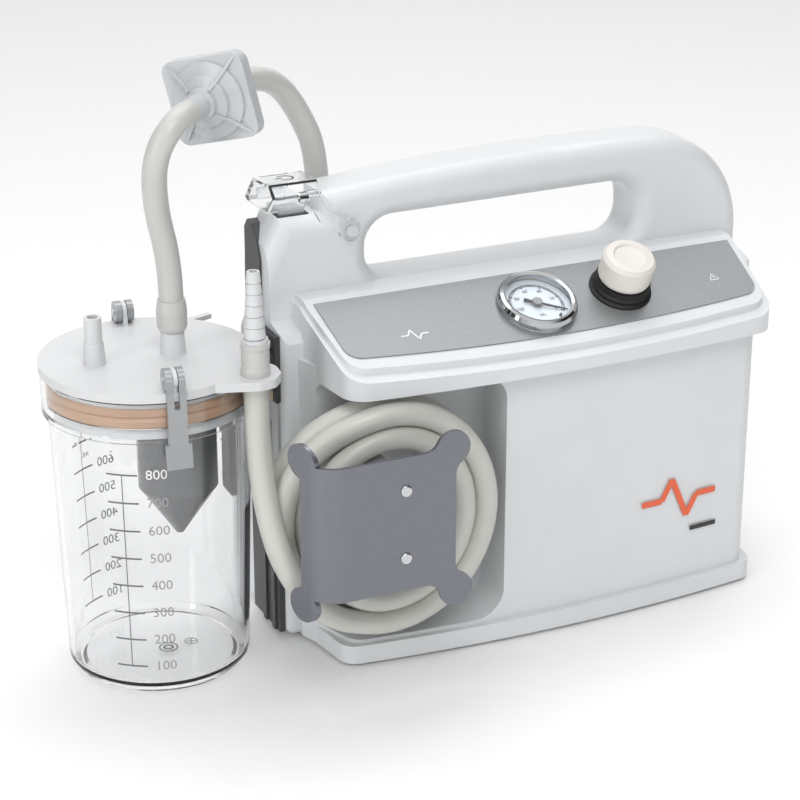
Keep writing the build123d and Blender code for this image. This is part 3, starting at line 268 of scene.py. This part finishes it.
pump_alloy = surface("pump_alloy", (0.58, 0.59, 0.6), 0.42, metallic=0.9, mottle=0.08, grain=0.15)
board_green = surface("board_green", (0.03, 0.16, 0.07), 0.35, mottle=0.12)
ink_black = surface("ink_black", (0.03, 0.03, 0.032), 0.5)
ink_grey = surface("ink_grey", (0.14, 0.145, 0.15), 0.5)
ink_pale = surface("ink_pale", (0.30, 0.30, 0.31), 0.5)
ink_white = surface("ink_white", (0.85, 0.85, 0.85), 0.5)
ink_orange = surface("ink_orange", (0.78, 0.13, 0.05), 0.45)

finishes = {
    casing_white: "front_casing rear_casing",
    panel_grey: "control_panel_overlay",
    dock_grey: "side_dock_panel jar_holder switch_body",
    plate_grey: "dock_guide_plate winder_core exhaust_muffler power_button",
    contact_cream: "dock_contact",
    brass: "gauge_movement inlet_pins",
    # the regulator boot's flared black base is partly painted shadow: it stands in for the knob's cast
    # shadow on the panel
    rubber_black: "rubber_feet regulator_boot motor_mounts diaphragm",
    plastic_black: "power_inlet gauge_case gauge_pointer pump_frame connecting_rod",
    steel: "casing_screws clip_pins cover_hinge_pins winder_rivets motor_rotor regulator_needle"
    " regulator_body",
    chrome: "gauge_bezel",
    dial_white: "gauge_dial",
    knob_cream: "regulator_knob",
    jar_clear: "jar",
    cover_clear: "switch_cover",
    lens_clear: "gauge_lens",
    lid_white: "jar_lid hose_connector pump_inlet_spout",
    clip_grey: "jar_clip_front jar_clip_rear",
    gasket_orange: "lid_gasket valve_seat",
    float_grey: "float_cage float_ball",
    hose_cream: "hose_end_cuff",
    tube_white: "vacuum_cuff hose_cuff vacuum_line",
    filter_milky: "filter_front_half filter_rear_half filter_membrane",
    winder_metal: "hose_winder_plate",
    motor_steel: "pump_motor",
    pump_alloy: "pump_chamber head_cover",
    board_green: "circuit_board",
}
for finish, names in finishes.items():
    for name in names.split():
        nodes[name].data.materials.clear()
        nodes[name].data.materials.append(finish)
for cord, finish in ((hose, hose_cream), (jar_tube, tube_white), (pump_tube, tube_white)):
    cord.data.materials.append(finish)

# ---------------------------------------------------------------- prints and small details
INK = 0.08  # thickness of every print
ARC_STEP = 8  # degrees that one bar of an arc covers


def bar(drawing, start, end, width, steps=1):
    """Flat bar from one (across, up) point to another, in steps so that it can follow a curve."""
    start, end = Vector(start), Vector(end)
    side = (end - start).normalized().orthogonal() * (width / 2)
    rows = []
    for step in range(steps + 1):
        middle = start.lerp(end, step / steps)
        corners = [(middle - side, 0), (middle + side, 0), (middle + side, INK), (middle - side, INK)]
        rows.append([drawing.verts.new((flat.x, flat.y, high)) for flat, high in corners])
    for before, after in zip(rows, rows[1:]):
        for one in range(4):
            two = (one + 1) % 4
            drawing.faces.new((before[one], before[two], after[two], after[one]))
    drawing.faces.new(rows[0])
    drawing.faces.new(list(reversed(rows[-1])))


def arc(drawing, radius, start, end, width, centre=(0, 0)):
    """Flat arc about a centre, between two angles in degrees."""
    count = max(4, round(abs(end - start) / ARC_STEP))
    points = []
    for n in range(count + 1):
        angle = math.radians(start + (end - start) * n / count)
        points.append((centre[0] + radius * math.cos(angle), centre[1] + radius * math.sin(angle)))
    for one, two in zip(points, points[1:]):
        bar(drawing, one, two, width)


def letters(drawing, text, across, up, height):
    """Upright text, centred on a point of the drawing."""
    curve = bpy.data.curves.new("letters", "FONT")
    curve.body = text
    curve.size = height
    curve.extrude = INK / 2
    curve.resolution_u = 3
    curve.align_x = "CENTER"
    curve.align_y = "CENTER"
    holder = link(bpy.data.objects.new("letters", curve))
    seen = holder.evaluated_get(bpy.context.evaluated_depsgraph_get())
    drawn = bpy.data.meshes.new_from_object(seen)
    drawn.transform(Matrix.Translation((across, up, INK / 2)))
    drawing.from_mesh(drawn)
    bpy.data.objects.remove(holder)
    bpy.data.meshes.remove(drawn)


def place(name, drawing, wrap, finish, body="pump"):
    """Turns a drawing into a piece: wrap takes each (across, up, out) point to its place in millimetres."""
    for vert in drawing.verts:
        vert.co = Vector(wrap(*vert.co)) * MM
    bmesh.ops.recalc_face_normals(drawing, faces=drawing.faces)
    data = bpy.data.meshes.new(name)
    drawing.to_mesh(data)
    drawing.free()
    data.materials.append(finish)
    made = link(bpy.data.objects.new(name, data))
    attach(made, body)
    return made


def on_plane(origin, along, facing):
    """Wrap for a flat face: the drawing's across runs along, and it faces the given way."""
    facing = Vector(facing).normalized()
    along = Vector(along).normalized()
    upward = facing.cross(along)

    def wrap(across, up, out):
        return Vector(origin) + along * across + upward * up + facing * out

    return wrap


# graduations on the jar, one scale towards the front and one on the far side
JAR_X, JAR_Y = -143.5, 21
WALL_FOOT, WALL_FOOT_RADIUS = 4.6, 46.6
WALL_HEIGHT, WALL_FLARE = 129.4, 3.7
PRINT_GAP = 0.06
FIRST_MARK, MARK_STEP, MARK_COUNT = 16.7, 15.08, 8
MARK_REACH = 7.8
FIGURE_HEIGHT = 7.2


def round_jar(bearing):
    """Wrap for the jar's tapering wall, with the drawing's middle at that bearing in degrees."""

    def wrap(across, up, out):
        wall = WALL_FOOT_RADIUS + WALL_FLARE * (up - WALL_FOOT) / WALL_HEIGHT
        angle = math.radians(bearing) + across / wall
        reach = wall + PRINT_GAP + out
        return (JAR_X + reach * math.cos(angle), JAR_Y + reach * math.sin(angle), up)

    return wrap


for name, bearing, number_at, numbered in (("front", -125.8, 17, 8), ("rear", 122, -16.5, 6)):
    scale = bmesh.new()
    figures = bmesh.new()
    over_cage = bmesh.new()
    top_mark = FIRST_MARK + MARK_STEP * (MARK_COUNT - 1)
    bar(scale, (0, FIRST_MARK), (0, top_mark), 0.5, 12)
    for n in range(MARK_COUNT):
        height = FIRST_MARK + MARK_STEP * n
        bar(scale, (-MARK_REACH, height), (MARK_REACH, height), 0.9, 8)
        if n < numbered:
            drawing = over_cage if n == MARK_COUNT - 1 else figures
            letters(drawing, str(100 * (n + 1)), number_at, height, FIGURE_HEIGHT)
    if name == "rear":
        letters(figures, "mL", -3, FIRST_MARK + MARK_STEP * 5.5, 4.4)
    place(f"jar_scale_{name}", scale, round_jar(bearing), ink_grey)
    if name == "front":
        place("jar_figure_top", over_cage, round_jar(bearing), ink_white)
    place(f"jar_figures_{name}", figures, round_jar(bearing), ink_pale if name == "front" else ink_grey)

# moulded marks in the jar's floor
floor_mark = bmesh.new()
arc(floor_mark, 4.6, 0, 360, 0.8)
arc(floor_mark, 2.2, 0, 360, 1.2)
arc(floor_mark, 3.2, 0, 360, 0.5, (12, 5))
bar(floor_mark, (9.6, 5), (14.4, 5), 0.6)
bar(floor_mark, (12, 2.6), (12, 7.4), 0.6)
place("jar_floor_mark", floor_mark, on_plane((-141, 15, 5.2), (1, -0.3, 0), (0, 0, 1)), ink_grey)

# vacuum gauge: printed scale, hub and stop pin
SLOPE = math.radians(24)
PANEL_OUT = (0, -math.sin(SLOPE), math.cos(SLOPE))
panel_origin = Vector((59, 3.5, 185.5))
panel_up = Vector((0, math.cos(SLOPE), math.sin(SLOPE)))


def on_panel(across, up, out):
    """Wrap for a drawing at that place on the control panel, from the middle of its rear edge."""
    origin = panel_origin + Vector((across, 0, 0)) + panel_up * up + Vector(PANEL_OUT) * out
    return on_plane(origin, (1, 0, 0), PANEL_OUT)


gauge_wrap = on_panel(-7.5, -26.5, 1.15)
dial = bmesh.new()
ZERO_ANGLE, FULL_ANGLE = -30, 190
RING_OUTER, RING_INNER = 14.6, 13.4
LONG_TICK_INNER = 12.6
NUMBER_RADIUS = 10.3
DIAL_TICKS = 50
arc(dial, RING_OUTER, ZERO_ANGLE, FULL_ANGLE, 0.4)
arc(dial, RING_INNER, ZERO_ANGLE, FULL_ANGLE, 0.2)
for n in range(DIAL_TICKS + 1):
    angle = math.radians(ZERO_ANGLE + (FULL_ANGLE - ZERO_ANGLE) * n / DIAL_TICKS)
    inner = LONG_TICK_INNER if n % 10 == 0 else RING_INNER
    outward = Vector((math.cos(angle), math.sin(angle)))
    bar(dial, outward * inner, outward * RING_OUTER, 0.7 if n % 5 == 0 else 0.35)
    if n % 10 == 0:
        letters(dial, str(n * 2), outward.x * NUMBER_RADIUS, outward.y * NUMBER_RADIUS, 3)
letters(dial, "kPa", 0, -8, 2.4)
place("dial_print", dial, gauge_wrap, ink_black)
HUB_OUT = 2.2
STOP_ACROSS, STOP_UP, STOP_OUT = 8.8, -10.4, 0.6
hub = bmesh.new()
bmesh.ops.create_cone(hub, cap_ends=True, segments=40, radius1=3, radius2=2.5, depth=1.2)
bmesh.ops.translate(hub, verts=hub.verts, vec=(0, 0, HUB_OUT))
place("pointer_hub", hub, gauge_wrap, float_grey, "pointer")
stop = bmesh.new()
bmesh.ops.create_cone(stop, cap_ends=True, segments=20, radius1=0.8, radius2=0.7, depth=1.4)
bmesh.ops.translate(stop, verts=stop.verts, vec=(STOP_ACROSS, STOP_UP, STOP_OUT))
place("pointer_stop", stop, gauge_wrap, plastic_black)

# power symbol on the switch cover
symbol = bmesh.new()
arc(symbol, 4.2, 50, 310, 0.8)
bar(symbol, (1.6, 0), (5.4, 0), 0.8)
place("power_symbol", symbol, on_plane((-64.5, 31, 243.6), (-1, 0, 0), (0, 0.05, 1)), ink_black, "cover")

# plain pulse mark in orange on the casing, and a small white one on the panel
MARK_X, MARK_Z = 130, 61
MARK_SCALE = 1.25
PULSE = ((-19, 0), (-9, 0), (-4, 9), (4, -9), (9, 0), (19, 0))
pulse = bmesh.new()
for one, two in zip(PULSE, PULSE[1:]):
    start = (MARK_X + one[0] * MARK_SCALE, MARK_Z + one[1] * MARK_SCALE)
    end = (MARK_X + two[0] * MARK_SCALE, MARK_Z + two[1] * MARK_SCALE)
    bar(pulse, start, end, 3.4, 6)
CASING_MIDDLE_X, CASING_FRONT_Y = 59, -44
BOW_RADIUS = 981.3
MARK_SINK = 0.05


def on_front(across, up, out):
    """Wrap for the casing's bowed front."""
    bow = BOW_RADIUS - math.sqrt(BOW_RADIUS**2 - (across - CASING_MIDDLE_X) ** 2)
    return (across, CASING_FRONT_Y + bow - MARK_SINK - out, up)


place("casing_mark", pulse, on_front, ink_orange)
underline = bmesh.new()
bar(underline, (MARK_X + 8, MARK_Z - 20), (MARK_X + 25, MARK_Z - 20), 2.6, 6)
place("casing_underline", underline, on_front, ink_black)
BADGE_SCALE = 0.4
badge = bmesh.new()
for one, two in zip(PULSE, PULSE[1:]):
    start = (one[0] * BADGE_SCALE, one[1] * BADGE_SCALE)
    end = (two[0] * BADGE_SCALE, two[1] * BADGE_SCALE)
    bar(badge, start, end, 0.8)
place("panel_mark", badge, on_panel(-79, -33, 0.85), ink_white)
TRIANGLE = ((-2.6, -2), (2.6, -2), (0, 2.6))
warning = bmesh.new()
for one, two in zip(TRIANGLE, TRIANGLE[1:] + TRIANGLE[:1]):
    bar(warning, one, two, 0.4)
bar(warning, (0, -1), (0, 1), 0.4)
place("panel_warning", warning, on_panel(98, -27, 0.85), ink_white)

# diagonal ribs on the filter's faces
FILTER_ALONG = Vector((0.634, -0.736, 0.24)).normalized()
RIB_HALF_THICK = 0.7
# distance from the filter's axis and height over its middle, round the rib's side
RIB_PROFILE = ((9, 8), (9, 12), (14, 8.2), (20, 6), (26, 3.9), (27, 3.3), (16, 3.3))
for name, facing in (("front", FILTER_FACING), ("rear", -FILTER_FACING)):
    ribs = bmesh.new()
    for n in range(4):
        angle = math.radians(45 + 90 * n)
        outward = Vector((math.cos(angle), math.sin(angle), 0))
        sideways = Vector((-outward.y, outward.x, 0)) * RIB_HALF_THICK
        outline = [outward * reach + Vector((0, 0, high)) for reach, high in RIB_PROFILE]
        near = [ribs.verts.new(corner - sideways) for corner in outline]
        far = [ribs.verts.new(corner + sideways) for corner in outline]
        ribs.faces.new(near)
        ribs.faces.new(list(reversed(far)))
        for one in range(len(RIB_PROFILE)):
            two = (one + 1) % len(RIB_PROFILE)
            ribs.faces.new((near[one], near[two], far[two], far[one]))
    place(f"filter_ribs_{name}", ribs, on_plane(FILTER_CENTRE, FILTER_ALONG, facing), filter_milky)

# ---------------------------------------------------------------- floor and light
floor_data = bpy.data.meshes.new("floor")
floor_mesh = bmesh.new()
FLOOR_REACH = 4
for x, y in ((-1, -1), (1, -1), (1, 1), (-1, 1)):
    floor_mesh.verts.new((x * FLOOR_REACH, y * FLOOR_REACH, 0))
floor_mesh.faces.new(floor_mesh.verts[:])
floor_mesh.to_mesh(floor_data)
floor_mesh.free()
floor = link(bpy.data.objects.new("floor", floor_data))
floor_data.materials.append(surface("floor_white", (0.93, 0.93, 0.93), 0.7, mottle=0.004))


def softbox(name, spot, target, size, watts):
    """Rectangular area light at a spot, turned to its target."""
    data = bpy.data.lights.new(name, "AREA")
    data.shape = "RECTANGLE"
    data.size, data.size_y = size
    data.energy = watts
    lamp = link(bpy.data.objects.new(name, data))
    lamp.location = spot
    lamp.rotation_euler = (Vector(target) - Vector(spot)).to_track_quat("-Z", "Y").to_euler()


middle = (0, 0, 0.12)
softbox("key_light", (-0.3, -1.3, 1.7), middle, (1.0, 0.8), 10)
softbox("top_light", (0.1, 0.4, 1.8), middle, (1.6, 0.8), 10)
softbox("left_strip", (-1.4, -0.5, 0.5), middle, (0.2, 1.2), 5)

# white surroundings that turn dark to the left and right, as between two black flags
world = bpy.data.worlds.new("studio")
bpy.context.scene.world = world
world.use_nodes = True
sky = world.node_tree.nodes
sky_link = world.node_tree.links.new
direction = sky.new("ShaderNodeTexCoord")
turned = sky.new("ShaderNodeMapping")
turned.inputs["Rotation"].default_value = (0, 0, math.radians(25))
split = sky.new("ShaderNodeSeparateXYZ")
sideways = sky.new("ShaderNodeMath")
sideways.operation = "ABSOLUTE"
flags = sky.new("ShaderNodeValToRGB")
flags.color_ramp.elements[0].position = 0.5
flags.color_ramp.elements[0].color = (1, 1, 1, 1)
flags.color_ramp.elements[1].position = 0.68
flags.color_ramp.elements[1].color = (0.03, 0.03, 0.03, 1)
sky_link(direction.outputs["Generated"], turned.inputs["Vector"])
sky_link(turned.outputs["Vector"], split.inputs["Vector"])
sky_link(split.outputs["X"], sideways.inputs[0])
sky_link(sideways.outputs[0], flags.inputs["Fac"])
sky_link(flags.outputs["Color"], sky["Background"].inputs["Color"])
sky["Background"].inputs["Strength"].default_value = 1.0
bpy.context.scene.view_settings.view_transform = "Standard"
